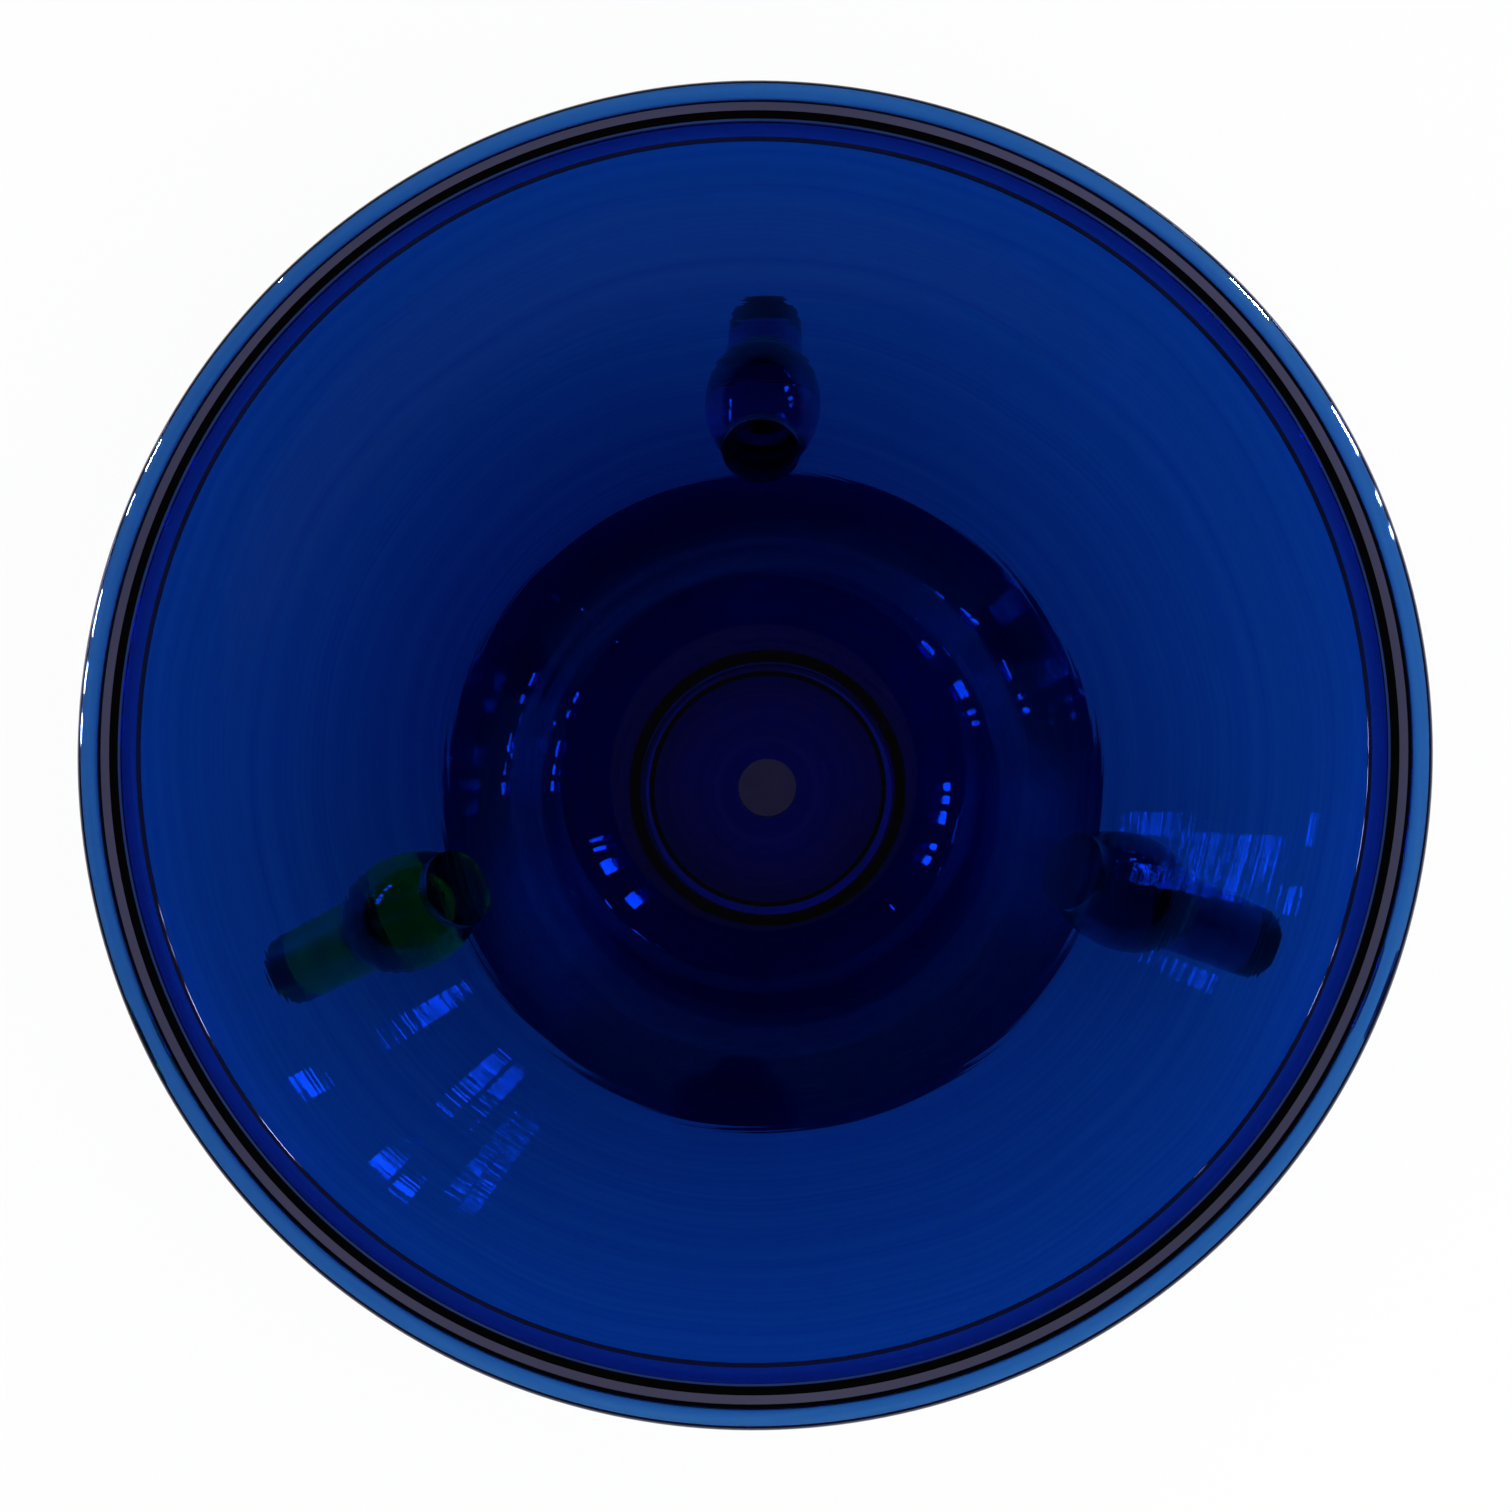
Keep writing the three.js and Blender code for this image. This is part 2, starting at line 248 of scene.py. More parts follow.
def coloured_glass(name, absorbs, tint, cord_tint, ring_spacing, ring_depth, swell, bump=0.00006,
                   polish=0.02):
    """Clear polished glass whose colour comes from its depth: absorbs is what a metre takes from
    red, green and blue. tint and cord_tint colour its skin between its faint cords and in them.
    Shadow rays pass it unbent."""
    material = bare_material(name)
    tree = material.node_tree
    worked = add(tree, "ShaderNodeGroup", (-700, 0), node_tree=surface_group,
                 Ring_Spacing=ring_spacing, Ring_Depth=ring_depth, Swell=swell,
                 Polish=polish).outputs
    relief = add(tree, "ShaderNodeBump", (-400, -200), Height=worked["Height"], Strength=1.0,
                 Distance=bump)
    colour = add(tree, "ShaderNodeMix", (-400, 200), data_type="RGBA", Factor=worked["Cords"],
                 A=(*tint, 1), B=(*cord_tint, 1))
    glass = add(tree, "ShaderNodeBsdfPrincipled", (0, 100), Base_Color=colour.outputs["Result"],
                Roughness=worked["Roughness"], Normal=relief.outputs[0], IOR=GLASS_IOR,
                Transmission_Weight=1.0)
    unbent = add(tree, "ShaderNodeBsdfTransparent", (0, -500))
    ray = add(tree, "ShaderNodeLightPath", (0, 600)).outputs
    both = add(tree, "ShaderNodeMixShader", (500, 100), ray["Is Shadow Ray"], glass.outputs[0],
               unbent.outputs[0])
    most = max(absorbs) * ABSORB_MARGIN
    depth = add(tree, "ShaderNodeVolumeAbsorption", (500, -300), Density=most,
                Color=(*(1 - a / most for a in absorbs), 1))
    add(tree, "ShaderNodeOutputMaterial", (900, 0), Surface=both.outputs[0],
        Volume=depth.outputs[0])
    return material


cobalt = coloured_glass("cobalt_blown_glass", COBALT_ABSORBS, COBALT_TINT, COBALT_CORD_TINT,
                        ring_spacing=0.0035, ring_depth=0.5, swell=0.3)


def foot_outline():
    flare = point(FOOT_RADIUS - FOOT_RIM_WIDTH, FOOT_GLASS)
    crown = point(FOOT_CROWN_RADIUS, FOOT_HEIGHT)
    slope = bezier(crown, crown + point(FOOT_SHOULDER_REACH, 0), flare - point(FOOT_FLARE_REACH, 0),
                   flare, FOOT_STEPS)
    edge = FOOT_GLASS / 2
    rim = arc(point(FOOT_RADIUS - edge, edge), edge, math.pi / 2, -math.pi / 2, EDGE_STEPS)
    return [
        point(FOOT_BORE_RADIUS, FOOT_HEIGHT),
        *skin(slope),
        *skin(rim),
        *reversed(skin(slope, FOOT_GLASS)),
        point(FOOT_BORE_RADIUS, FOOT_HEIGHT - FOOT_GLASS),
    ]


foot = turned("spun_foot", foot_outline(), seed=3)
foot.data.materials.append(cobalt)
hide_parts("foot")
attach(foot, "root")

# Bowl. One bubble of cobalt glass, opened and turned to a cone whose wall stands upright at its
# top. The lip was thickened and worked out flat to both sides of the wall, thinner on the inside.
SEAT_GAP = 0.0003
FLOOR_RISE = 0.0071
BOWL_HEIGHT = 0.168
BOWL_SEED = 7
LIP_RADIUS = 0.150
LIP_WIDTH = 0.0144
LIP_INNER_GLASS = 0.0009
LIP_OUTER_ROUND = 0.0019
LIP_LOWER_ROUND = 0.00035
LIP_BEVEL_RADIUS = 0.008
LIP_BEVEL_TOP = math.radians(63)
LIP_BEVEL_END = math.radians(56.5)
LIP_SHOULDER_RADIUS = 0.0008
LIP_CROWN_RADIUS = 0.020
LIP_FILLET = 0.0012
WALL_GLASS = 0.0044
WALL_SLOPE = math.radians(52)
WALL_LOWER_REACH = 0.070
WALL_UPPER_REACH = 0.014
FLOOR_RADIUS = 0.015
FLOOR_GLASS = 0.007
CORNER_RADIUS = 0.052
CORNER_STEPS = 60
WALL_STEPS = 150
CROWN_STEPS = 16
BASE_RADIUS = 0.032
BASE_EXTRA = 0.002
BUTTON_RADIUS = 0.0078
BUTTON_RECESS = 0.0012
FILM_PROUD = 0.00003

floor_bottom = FOOT_HEIGHT + FLOOR_RISE
floor_top = floor_bottom + FLOOR_GLASS
crown_centre = point(LIP_RADIUS - LIP_WIDTH / 2, BOWL_HEIGHT - FILM_PROUD - LIP_CROWN_RADIUS)


def outward(angle, length):
    return point(length * math.cos(angle), length * math.sin(angle))


# The inner edge is one round. The outer one runs from the crown over a tight shoulder to a bevel,
# almost flat, that was pressed on with a wet wooden paddle, and from there round and under.
inner_round = LIP_INNER_GLASS / 2
inner_offset = inner_round - LIP_WIDTH / 2
inner_rise = math.sqrt((LIP_CROWN_RADIUS - inner_round) ** 2 - inner_offset ** 2)
inner_edge = crown_centre + point(inner_offset, inner_rise)
crown_start = math.atan2(inner_rise, inner_offset)
edge_to_bevel = outward(LIP_BEVEL_END, LIP_OUTER_ROUND - LIP_BEVEL_RADIUS)
bevel_to_shoulder = outward(LIP_BEVEL_TOP, LIP_BEVEL_RADIUS - LIP_SHOULDER_RADIUS)
shoulder_reach = LIP_WIDTH / 2 - LIP_OUTER_ROUND + edge_to_bevel.x + bevel_to_shoulder.x
crown_end = math.acos(shoulder_reach / (LIP_CROWN_RADIUS - LIP_SHOULDER_RADIUS))
shoulder_centre = crown_centre + outward(crown_end, LIP_CROWN_RADIUS - LIP_SHOULDER_RADIUS)
bevel_centre = shoulder_centre - bevel_to_shoulder
outer_edge = bevel_centre - edge_to_bevel
lower_edge = point(LIP_RADIUS - LIP_LOWER_ROUND, outer_edge.y)
corner = arc(point(FLOOR_RADIUS, floor_top + CORNER_RADIUS), CORNER_RADIUS, -math.pi / 2,
             WALL_SLOPE - math.pi / 2, CORNER_STEPS)
wall_top = point(crown_centre.x - WALL_GLASS / 2, lower_edge.y - LIP_LOWER_ROUND - LIP_FILLET)
up_slope = point(math.cos(WALL_SLOPE), math.sin(WALL_SLOPE))
wall = bezier(corner[-1][0], corner[-1][0] + WALL_LOWER_REACH * up_slope,
              wall_top - point(0, WALL_UPPER_REACH), wall_top, WALL_STEPS)


def lip_outline():
    quarter = math.pi / 2
    inner_fillet = point(wall_top.x - LIP_FILLET, inner_edge.y - inner_round - LIP_FILLET)
    outer_fillet = point(wall_top.x + WALL_GLASS + LIP_FILLET, wall_top.y)
    return [
        *skin(arc(inner_fillet, LIP_FILLET, 0, quarter, EDGE_STEPS)),
        *skin(arc(inner_edge, inner_round, -quarter, crown_start - math.tau, EDGE_STEPS)),
        *skin(arc(crown_centre, LIP_CROWN_RADIUS, crown_start, quarter, CROWN_STEPS))[1:],
        *skin(arc(crown_centre, LIP_CROWN_RADIUS, quarter, crown_end, CROWN_STEPS))[1:],
        *skin(arc(shoulder_centre, LIP_SHOULDER_RADIUS, crown_end, LIP_BEVEL_TOP, EDGE_STEPS))[1:],
        *skin(arc(bevel_centre, LIP_BEVEL_RADIUS, LIP_BEVEL_TOP, LIP_BEVEL_END, EDGE_STEPS))[1:],
        *skin(arc(outer_edge, LIP_OUTER_ROUND, LIP_BEVEL_END, 0, EDGE_STEPS))[1:],
        *skin(arc(lower_edge, LIP_LOWER_ROUND, 0, -quarter, EDGE_STEPS))[1:],
        *skin(arc(outer_fillet, LIP_FILLET, quarter, math.pi, EDGE_STEPS)),
    ]


bowl_underside = skin(corner, FLOOR_GLASS, WALL_GLASS)


def bowl_outline():
    recess_radius = BUTTON_RADIUS + SEAT_GAP
    recess_floor = floor_top - BUTTON_RECESS
    base = arc(point(BASE_RADIUS - BASE_EXTRA, floor_bottom), BASE_EXTRA, 0, -math.pi / 2,
               EDGE_STEPS)
    return [
        point(0, recess_floor),
        point(recess_radius, recess_floor),
        point(recess_radius, floor_top),
        *skin(corner),
        *skin(wall)[1:],
        *lip_outline(),
        *reversed(skin(wall, WALL_GLASS)[:-1]),
        *(place for place in reversed(bowl_underside[:-1]) if place.x > BASE_RADIUS),
        *skin(base),
        point(0, floor_bottom - BASE_EXTRA),
    ]


bowl = turned("blown_bowl", bowl_outline(), seed=BOWL_SEED)
bowl.data.materials.append(cobalt)
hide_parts("bowl")
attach(bowl, "root")

# Crest band. A dull grey band, darker and lighter in clouds, runs round the top of the lip. It is a
# film of its own on the glass, for glass of two finishes can't share one closed skin.
CREST_BAND_WIDTH = 0.0019
CREST_BAND_MIDDLE = 0.1432
FILM_DEPTH = 0.00004
GRIT_STRENGTH = 0.5


def clouded_glass(name, deep, light, cloud_scale, cloud_detail, roughness, grit_scale=0.0,
                  grit_detail=0.0, grit_depth=0.0):
    """Glass that can't be seen into. Its tone drifts in clouds between deep and light, and with a
    grit depth, as on the crest band and the ground button, it has a fine grit in its skin. The lip's
    painted shade and painted glint lines use it too."""
    material = bare_material(name)
    tree = material.node_tree
    where = add(tree, "ShaderNodeTexCoord", (-900, 0)).outputs["Object"]
    cloud = add(tree, "ShaderNodeTexNoise", (-700, 100), Vector=where, Scale=cloud_scale,
                Detail=cloud_detail)
    tone = add(tree, "ShaderNodeMix", (-350, 100), data_type="RGBA", Factor=cloud.outputs[0],
               A=(*deep, 1), B=(*light, 1))
    glass = add(tree, "ShaderNodeBsdfPrincipled", (0, 0), Base_Color=tone.outputs["Result"],
                Roughness=roughness, IOR=GLASS_IOR)
    if grit_depth:
        grit = add(tree, "ShaderNodeTexNoise", (-700, -150), Vector=where, Scale=grit_scale,
                   Detail=grit_detail)
        relief = add(tree, "ShaderNodeBump", (-350, -200), Height=grit.outputs[0],
                     Strength=GRIT_STRENGTH, Distance=grit_depth)
        tree.links.new(relief.outputs[0], glass.inputs["Normal"])
    add(tree, "ShaderNodeOutputMaterial", (300, 0), Surface=glass.outputs[0])
    return material


def film(name, stations, material):
    """A thin skin that stands a hair proud of the bowl's lip and reaches a hair into it. It has the
    bowl's seed, so it strays from true as the lip does."""
    outline = [*skin(stations, -FILM_PROUD), *reversed(skin(stations, FILM_DEPTH))]
    piece = turned(name, outline, seed=BOWL_SEED)
    piece.data.materials.append(material)
    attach(piece, "root")


crest_band_glass = clouded_glass("dull_grey_crest_glass", deep=(0.008, 0.008, 0.024),
                              light=(0.036, 0.033, 0.066), cloud_scale=9.0, cloud_detail=2.0,
                              roughness=0.55, grit_scale=900.0, grit_detail=4.0,
                              grit_depth=0.00002)
crest_band_middle = math.acos((CREST_BAND_MIDDLE - crown_centre.x) / LIP_CROWN_RADIUS)
half_crest_band = CREST_BAND_WIDTH / 2 / LIP_CROWN_RADIUS
film("crest_band",
     [*arc(crown_centre, LIP_CROWN_RADIUS, crest_band_middle + half_crest_band, math.pi / 2, CROWN_STEPS),
      *arc(crown_centre, LIP_CROWN_RADIUS, math.pi / 2, crest_band_middle - half_crest_band, CROWN_STEPS)[1:]],
     crest_band_glass)

# Lip lines. Along both edges of the lip a thin dark film is painted shade, for the dark line that a
# glass edge shows, and over the wall a hair-thin pale ring is a painted glint.
PAINTED_EDGE_WIDTH = 0.0009
PAINTED_EDGE_END = math.radians(10)
PAINTED_EDGE_ON_BEVEL = math.radians(58.5)
PAINTED_GLINT_WIDTH = 0.0005
PAINTED_GLINT_MIDDLE = 0.1401


def painted_line_glass(name, deep, light):
    return clouded_glass(name, deep, light, cloud_scale=30.0, cloud_detail=3.0, roughness=0.06)


# Painted shade: the dark lines along both edges of the lip.
painted_shade_glass = painted_line_glass("painted_edge_shade_glass", deep=(0.0006, 0.0006, 0.006),
                           light=(0.0030, 0.0050, 0.030))
# Painted glint: a pale ring put where a highlight falls on the lip over the wall.
painted_glint_glass = painted_line_glass("painted_glint_cobalt_glass", deep=(0.003, 0.009, 0.05), light=(0.014, 0.034, 0.12))
painted_edge_lean = math.acos((LIP_WIDTH / 2 - PAINTED_EDGE_WIDTH) / LIP_CROWN_RADIUS)
# The two films below are painted shade along the inner and outer edges of the lip.
film("inner_lip_painted_shade",
     [*arc(inner_edge, inner_round, -math.pi - PAINTED_EDGE_END, crown_start - math.tau, EDGE_STEPS),
      *arc(crown_centre, LIP_CROWN_RADIUS, crown_start, math.pi - painted_edge_lean, EDGE_STEPS)[1:]],
     painted_shade_glass)
film("outer_lip_painted_shade",
     [*arc(bevel_centre, LIP_BEVEL_RADIUS, PAINTED_EDGE_ON_BEVEL, LIP_BEVEL_END, EDGE_STEPS),
      *arc(outer_edge, LIP_OUTER_ROUND, LIP_BEVEL_END, PAINTED_EDGE_END, EDGE_STEPS)[1:]],
     painted_shade_glass)
# The pale ring below is a painted glint.
glint_middle = math.acos((PAINTED_GLINT_MIDDLE - crown_centre.x) / LIP_CROWN_RADIUS)
half_glint = PAINTED_GLINT_WIDTH / 2 / LIP_CROWN_RADIUS
film("painted_glint_ring",
     arc(crown_centre, LIP_CROWN_RADIUS, glint_middle + half_glint, glint_middle - half_glint,
         EDGE_STEPS),
     painted_glint_glass)

# Stem collar. A ring of cobalt glass, put on hot between foot and bowl, with a bore a little wider
# than the foot's. Its top is shaped to the bowl's round bottom. It is fused to both, so its ends
# run a little way into theirs.
COLLAR_RADIUS = 0.0378
COLLAR_BORE_RADIUS = 0.0346
COLLAR_HEIGHT = 0.016
COLLAR_BULGE = 0.0014
COLLAR_STEPS = 40
SEAT_STEPS = 8
FUSED = 0.0003


def underside_at(radius):
    """Height of the bowl's outside face at a radius near the collar."""
    for near, far in zip(bowl_underside, bowl_underside[1:]):
        if near.x <= radius <= far.x:
            return near.y + (far.y - near.y) * (radius - near.x) / (far.x - near.x)


def collar_outline():
    half_height = COLLAR_HEIGHT / 2
    middle = point(COLLAR_RADIUS - COLLAR_BULGE, FOOT_HEIGHT + SEAT_GAP + half_height)
    edge = []
    for step in range(COLLAR_STEPS + 1):
        angle = math.pi / 2 - math.pi * step / COLLAR_STEPS
        place = middle + point(COLLAR_BULGE * math.cos(angle), half_height * math.sin(angle))
        if place.y < underside_at(place.x):
            edge.append(place)
    seat = []
    for step in range(SEAT_STEPS + 1):
        radius = COLLAR_BORE_RADIUS + (edge[0].x - COLLAR_BORE_RADIUS) * step / SEAT_STEPS
        seat.append(point(radius, underside_at(radius) + FUSED))
    low = FOOT_HEIGHT - FUSED
    return [*seat, *edge, point(edge[-1].x, low), point(COLLAR_BORE_RADIUS, low)]


collar = turned("stem_ring", collar_outline(), seed=11)
collar.data.materials.append(cobalt)
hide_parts("stem_collar")
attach(collar, "root")

# Centre button. A small disc of grey glass, ground flat and left unpolished. It is set into a
# shallow recess in the middle of the floor and stands a little proud of it.
BUTTON_HEIGHT = 0.0015
BUTTON_EDGE = 0.0004
BUTTON_WAVE = 0.0001
BUTTON_SPIN_STEPS = 96

button_bottom = floor_top - BUTTON_RECESS + SEAT_GAP
button_top = button_bottom + BUTTON_HEIGHT


def button_outline():
    edge = arc(point(BUTTON_RADIUS - BUTTON_EDGE, button_top - BUTTON_EDGE), BUTTON_EDGE,
               math.pi / 2, 0, EDGE_STEPS)
    return [point(0, button_top), *skin(edge), point(BUTTON_RADIUS, button_bottom),
            point(0, button_bottom)]


ground_glass = clouded_glass("ground_grey_glass", deep=(0.0035, 0.0032, 0.010),
                             light=(0.0070, 0.0062, 0.016), cloud_scale=220.0, cloud_detail=2.0,
                             roughness=0.75, grit_scale=2600.0, grit_detail=3.0,
                             grit_depth=0.00004)
button = turned("ground_button", button_outline(), seed=13, wave=BUTTON_WAVE,
                steps=BUTTON_SPIN_STEPS)
button.data.materials.append(ground_glass)
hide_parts("centre_button")
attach(button, "root")

# Lugs. Three eggs of solid coloured glass, each stuck hot to the wall by a pad and closed by a cap
# of cobalt. Beyond the cap is a straight tip, drawn from the egg's own glass and nipped off. The
# lugs stand square to the wall.
LUG_SEAT_RADIUS = 0.083
LUG_HALF_WIDTH = 0.0151
LUG_HALF_LENGTH = 0.0215
LUG_PAD_RADIUS = 0.0100
LUG_PAD_HEIGHT = 0.0026
LUG_PAD_FLARE = 0.0010
LUG_PAD_ROOT = 0.0018
LUG_NECK_RADIUS = 0.0101
LUG_CAP_RADIUS = 0.0117
LUG_TIP_RADIUS = 0.0102
LUG_TIP_END_RADIUS = 0.0097
LUG_TIP_EDGE = 0.002
LUG_STEPS = 48
LUG_SPIN_STEPS = 96
LUG_WAVE = 0.00015
LUG_FIRST_SEED = 20
LUG_CORD_GAIN = 1.15
LONG_TIP = 0.036
SHORT_TIP = 0.020
LUGS = {
    "amethyst": dict(azimuth=90, tip=SHORT_TIP, absorbs=(10.0, 70.0, 30.0),
                     tint=(0.95, 0.40, 0.68)),
    "green": dict(azimuth=201, tip=LONG_TIP, absorbs=(70.0, 8.0, 90.0), tint=(0.38, 0.84, 0.38)),
    "smoke": dict(azimuth=342, tip=LONG_TIP, absorbs=(80.0, 90.0, 60.0), tint=(0.45, 0.36, 0.66)),
}


def egg_reach(radius):
    """How far from the egg's middle, along its length, it has a given radius."""
    return LUG_HALF_LENGTH * math.sqrt(1 - (radius / LUG_HALF_WIDTH) ** 2)


neck_start = LUG_PAD_HEIGHT + SEAT_GAP
egg_centre = neck_start + egg_reach(LUG_NECK_RADIUS)
body_end = egg_centre + egg_reach(LUG_CAP_RADIUS)
cap_end = egg_centre + egg_reach(LUG_TIP_RADIUS)
tip_start = cap_end + SEAT_GAP


def egg_slice(start, end):
    points = [point(0, end)]
    for step in range(LUG_STEPS + 1):
        place = end + (start - end) * step / LUG_STEPS
        reach = (place - egg_centre) / LUG_HALF_LENGTH
        points.append(point(LUG_HALF_WIDTH * math.sqrt(1 - reach * reach), place))
    points.append(point(0, start))
    return points


def pad_outline():
    flare = arc(point(LUG_PAD_RADIUS - LUG_PAD_FLARE, LUG_PAD_HEIGHT - LUG_PAD_FLARE),
                LUG_PAD_FLARE, math.pi / 2, 0, EDGE_STEPS)
    return [point(0, LUG_PAD_HEIGHT), *skin(flare), point(LUG_PAD_RADIUS, -LUG_PAD_ROOT),
            point(0, -LUG_PAD_ROOT)]


def tip_outline(length):
    end = tip_start + length
    edge = arc(point(LUG_TIP_END_RADIUS - LUG_TIP_EDGE, end - LUG_TIP_EDGE), LUG_TIP_EDGE,
               math.pi / 2, 0, EDGE_STEPS)
    return [point(0, end), *skin(edge), point(LUG_TIP_RADIUS, cap_end - FUSED),
            point(0, cap_end - FUSED)]


def out_of_wall(azimuth):
    """The frame of a lug: its Z axis points square out of the wall where the lug sits."""
    outside = skin(wall, WALL_GLASS)
    nearest = min(range(len(wall)), key=lambda i: abs(outside[i].x - LUG_SEAT_RADIUS))
    seat, along = outside[nearest], wall[nearest][1]
    slope = math.atan2(along.y, along.x)
    return (Matrix.Rotation(math.radians(azimuth), 4, "Z") @ Matrix.Translation((seat.x, 0, seat.y))
            @ Matrix.Rotation(math.pi - slope, 4, "Y"))


for number, (colour, lug) in enumerate(LUGS.items()):
    cord_tint = tuple(min(1.0, LUG_CORD_GAIN * share) for share in lug["tint"])
    glass = coloured_glass(f"{colour}_solid_glass", lug["absorbs"], lug["tint"], cord_tint,
                           ring_spacing=0.006, ring_depth=0.25, swell=0.9)
    stand = out_of_wall(lug["azimuth"])
    slices = (
        ("pad", pad_outline(), glass, f"{colour}_glass"),
        ("body", egg_slice(neck_start - SEAT_GAP - FUSED, body_end), glass, f"{colour}_glass"),
        ("cap", egg_slice(body_end - FUSED, cap_end), cobalt, "cobalt_glass"),
        ("tip", tip_outline(lug["tip"]), glass, f"{colour}_glass"),
    )
    for order, (part, outline, material, slot) in enumerate(slices):
        seed = LUG_FIRST_SEED + len(slices) * number + order
        piece = turned(f"{colour}_{part}", outline, seed, wave=LUG_WAVE, steps=LUG_SPIN_STEPS)
        piece.data.transform(stand)
        piece.data.materials.append(material)
        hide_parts(f"{colour}_lug_{part}")
        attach(piece, "root")

# Stage. A pale, slightly polished floor, one wide soft lamp overhead, and small panes of blue
# daylight that the glass mirrors. The floor lies a hair below the foot, so that the two don't share
# one plane.
FLOOR_HALF = 6.0
FLOOR_GAP = 0.00005
FLOOR_WHITE = 0.80
FLOOR_ROUGHNESS = 0.5
FLOOR_GLOW_TO_CAMERA = 0.94
FLOOR_GLOW_IN_GLASS = 0.05
SOFT_LAMP_PLACE = (0.35, -0.35, 2.4)
SOFT_LAMP_SIZE = 3.2
SOFT_LAMP_POWER = 105.0
ROOM_TO_CAMERA = 1.0
ROOM_THROUGH_GLASS = 0.30
ROOM_MIRRORED = 0.03


def white_floor():
    """White, with a share of glow: most of it to the camera, and very little in or through glass,
    which so shows the floor as it is lit, with the bowl's shadow."""
    material = bare_material("white_floor")
    tree = material.node_tree
    paper = add(tree, "ShaderNodeBsdfPrincipled", (-300, 0), Roughness=FLOOR_ROUGHNESS,
                Base_Color=(FLOOR_WHITE, FLOOR_WHITE, FLOOR_WHITE, 1))
    glow = add(tree, "ShaderNodeEmission", (-200, -400), Color=(1, 1, 1, 1), Strength=1.0)
    ray = add(tree, "ShaderNodeLightPath", (-800, 400)).outputs
    in_glass = reckon(tree, (-600, 300), "MAXIMUM", ray["Is Glossy Ray"],
                      ray["Is Transmission Ray"])
    faint = reckon(tree, (-400, 300), "MULTIPLY", in_glass, FLOOR_GLOW_IN_GLASS)
    share = reckon(tree, (-200, 400), "MULTIPLY_ADD", ray["Is Camera Ray"], FLOOR_GLOW_TO_CAMERA,
                   faint)
    both = add(tree, "ShaderNodeMixShader", (300, 0), share, paper.outputs[0], glow.outputs[0])
    add(tree, "ShaderNodeOutputMaterial", (600, 0), Surface=both.outputs[0])
    return material


floor_corners = [(-FLOOR_HALF, -FLOOR_HALF, 0), (FLOOR_HALF, -FLOOR_HALF, 0),
                 (FLOOR_HALF, FLOOR_HALF, 0), (-FLOOR_HALF, FLOOR_HALF, 0)]
floor_mesh = bpy.data.meshes.new("floor")
floor_mesh.from_pydata(floor_corners, [], [(0, 1, 2, 3)])
floor = bpy.data.objects.new("floor", floor_mesh)
floor.location.z = -FLOOR_GAP
bpy.context.scene.collection.objects.link(floor)
floor.data.materials.append(white_floor())


def surroundings():
    """A room that is white to the camera, a third as bright straight through the glass, and dim for
    what the glass mirrors."""
    world = bpy.data.worlds.new("surroundings")
    world.use_nodes = True
    tree = world.node_tree
    tree.nodes.clear()
    ray = add(tree, "ShaderNodeLightPath", (-700, 200)).outputs
    bounces = reckon(tree, (-600, 0), "ADD", ray["Glossy Depth"], ray["Diffuse Depth"])
    no_bounce = reckon(tree, (-450, 100), "COMPARE", bounces, 0.0, 0.5)
    straight = reckon(tree, (-300, 200), "MULTIPLY", ray["Is Transmission Ray"], no_bounce)
    room = add(tree, "ShaderNodeMapRange", (-100, 100), Value=straight, To_Min=ROOM_MIRRORED,
               To_Max=ROOM_THROUGH_GLASS)
    strength = add(tree, "ShaderNodeMix", (150, 100), data_type="FLOAT",
                   Factor=ray["Is Camera Ray"], A=room.outputs[0], B=ROOM_TO_CAMERA)
    sky = add(tree, "ShaderNodeBackground", (400, 0), Color=(1, 1, 1, 1),
              Strength=strength.outputs["Result"])
    add(tree, "ShaderNodeOutputWorld", (900, 0), Surface=sky.outputs[0])
    return world


bpy.context.scene.world = surroundings()


def lamp(name, place, target, width, height, power):
    light = bpy.data.lights.new(name, "AREA")
    light.shape = "RECTANGLE"
    light.size = width
    light.size_y = height
    light.energy = power
    holder = bpy.data.objects.new(name, light)
    holder.location = place
    holder.rotation_euler = (Vector(target) - Vector(place)).to_track_quat("-Z", "Y").to_euler()
    bpy.context.scene.collection.objects.link(holder)
    return holder


soft = lamp("soft_lamp", SOFT_LAMP_PLACE, (0, 0, 0), SOFT_LAMP_SIZE, SOFT_LAMP_SIZE,
            SOFT_LAMP_POWER)
soft.visible_glossy = False
soft.visible_transmission = False

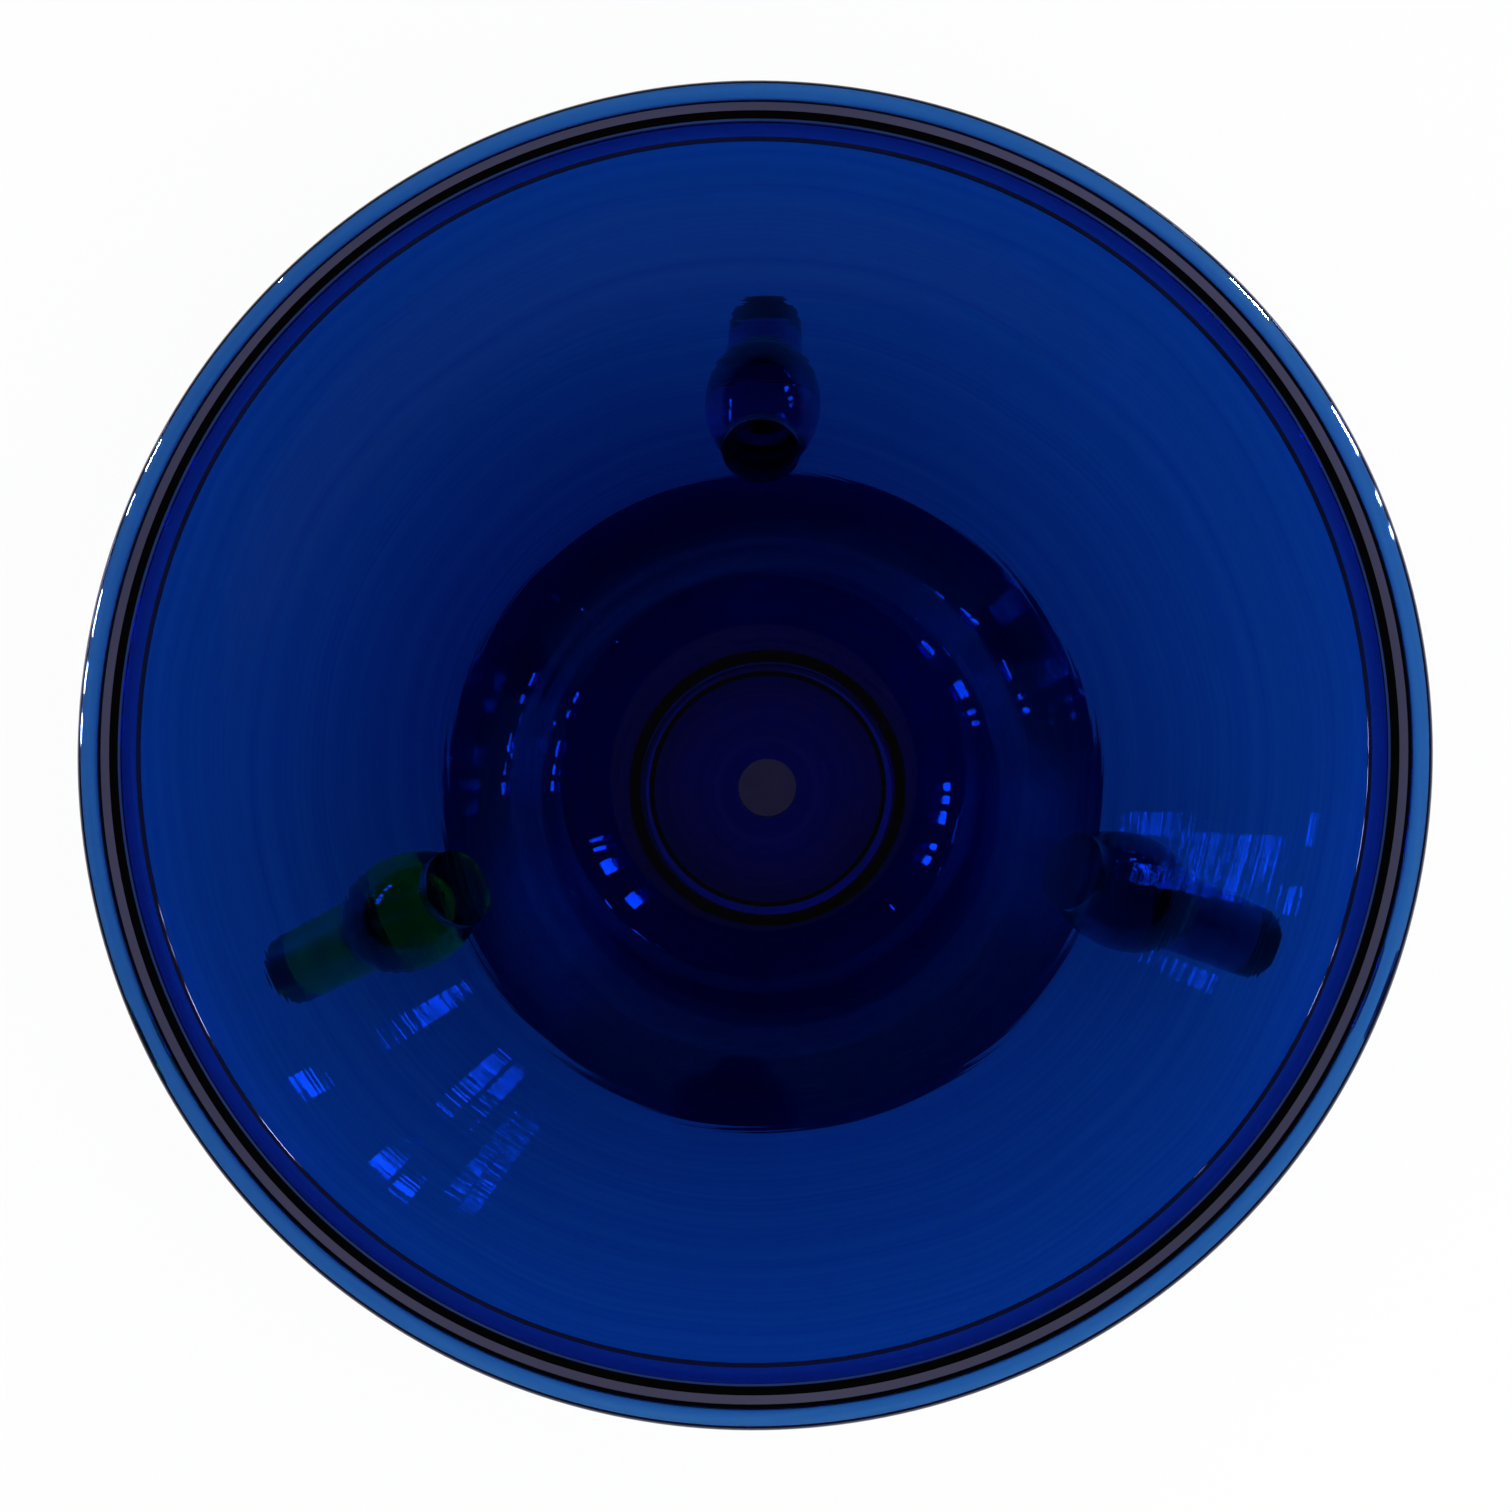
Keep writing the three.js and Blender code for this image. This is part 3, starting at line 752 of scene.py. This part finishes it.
# Each pane has its azimuth in degrees, the height of its middle, its width and its height. They all
# face one spot inside the bowl. A pane's power is its glare times pi and its area.
PANE_DISTANCE = 1.6
PANE_TARGET = (0, 0, 0.12)
PANE_GLARE = 180.0
LOW_PANE_GLARE = 80.0
SKY_BLUE = (0.35, 0.42, 1.0)
PANES = ((23.5, 0.60, 0.03, 0.24), (26.6, 0.60, 0.035, 0.24), (33, 0.60, 0.13, 0.24),
         (46.7, 0.60, 0.13, 0.24), (133, 0.50, 0.012, 0.14), (150.4, 0.50, 0.08, 0.14),
         (154.8, 0.50, 0.05, 0.14), (164.1, 0.50, 0.11, 0.14), (169.5, 0.50, 0.07, 0.14),
         (173.7, 0.50, 0.07, 0.14))
LOW_PANES = ((43, 0.14, 0.08, 0.03), (42.5, 0.11, 0.05, 0.008), (54, 0.128, 0.07, 0.028),
             (57, 0.11, 0.06, 0.02), (61, 0.168, 0.05, 0.007), (63, 0.15, 0.05, 0.007),
             (148.8, 0.163, 0.06, 0.014), (161.5, 0.172, 0.21, 0.010), (166, 0.095, 0.09, 0.014),
             (159, 0.10, 0.08, 0.010))
for panes, glare in ((PANES, PANE_GLARE), (LOW_PANES, LOW_PANE_GLARE)):
    for azimuth, middle, width, height in panes:
        turn = math.radians(azimuth)
        place = (PANE_DISTANCE * math.cos(turn), PANE_DISTANCE * math.sin(turn), middle)
        power = glare * math.pi * width * height
        pane = lamp(f"pane_{azimuth}", place, PANE_TARGET, width, height, power)
        pane.data.color = SKY_BLUE
        pane.visible_diffuse = False

# Camera. It looks down into the bowl from a little to the right of and below its middle, with +Y
# up in the picture.
PICTURE = 1512
CAMERA_HEIGHT = 0.78075
CAMERA_OFF_AXIS = (0.0231, -0.0628)
CAMERA_AIM = (0.00126, -0.00316, 0.16075)
CAMERA_NEAR = 0.01
FOCAL_PIXELS = 2798.7
SENSOR = 36.0
camera_data = bpy.data.cameras.new("camera")
camera_data.sensor_width = SENSOR
camera_data.lens = SENSOR * FOCAL_PIXELS / PICTURE
camera_data.clip_start = CAMERA_NEAR
camera = bpy.data.objects.new("camera", camera_data)
camera.location = (*CAMERA_OFF_AXIS, CAMERA_HEIGHT)
back = (camera.location - Vector(CAMERA_AIM)).normalized()
right = Vector((0, 1, 0)).cross(back).normalized()
camera.rotation_euler = Matrix((right, back.cross(right), back)).transposed().to_euler()
bpy.context.scene.collection.objects.link(camera)
bpy.context.scene.camera = camera
bpy.context.scene.view_settings.view_transform = "Standard"
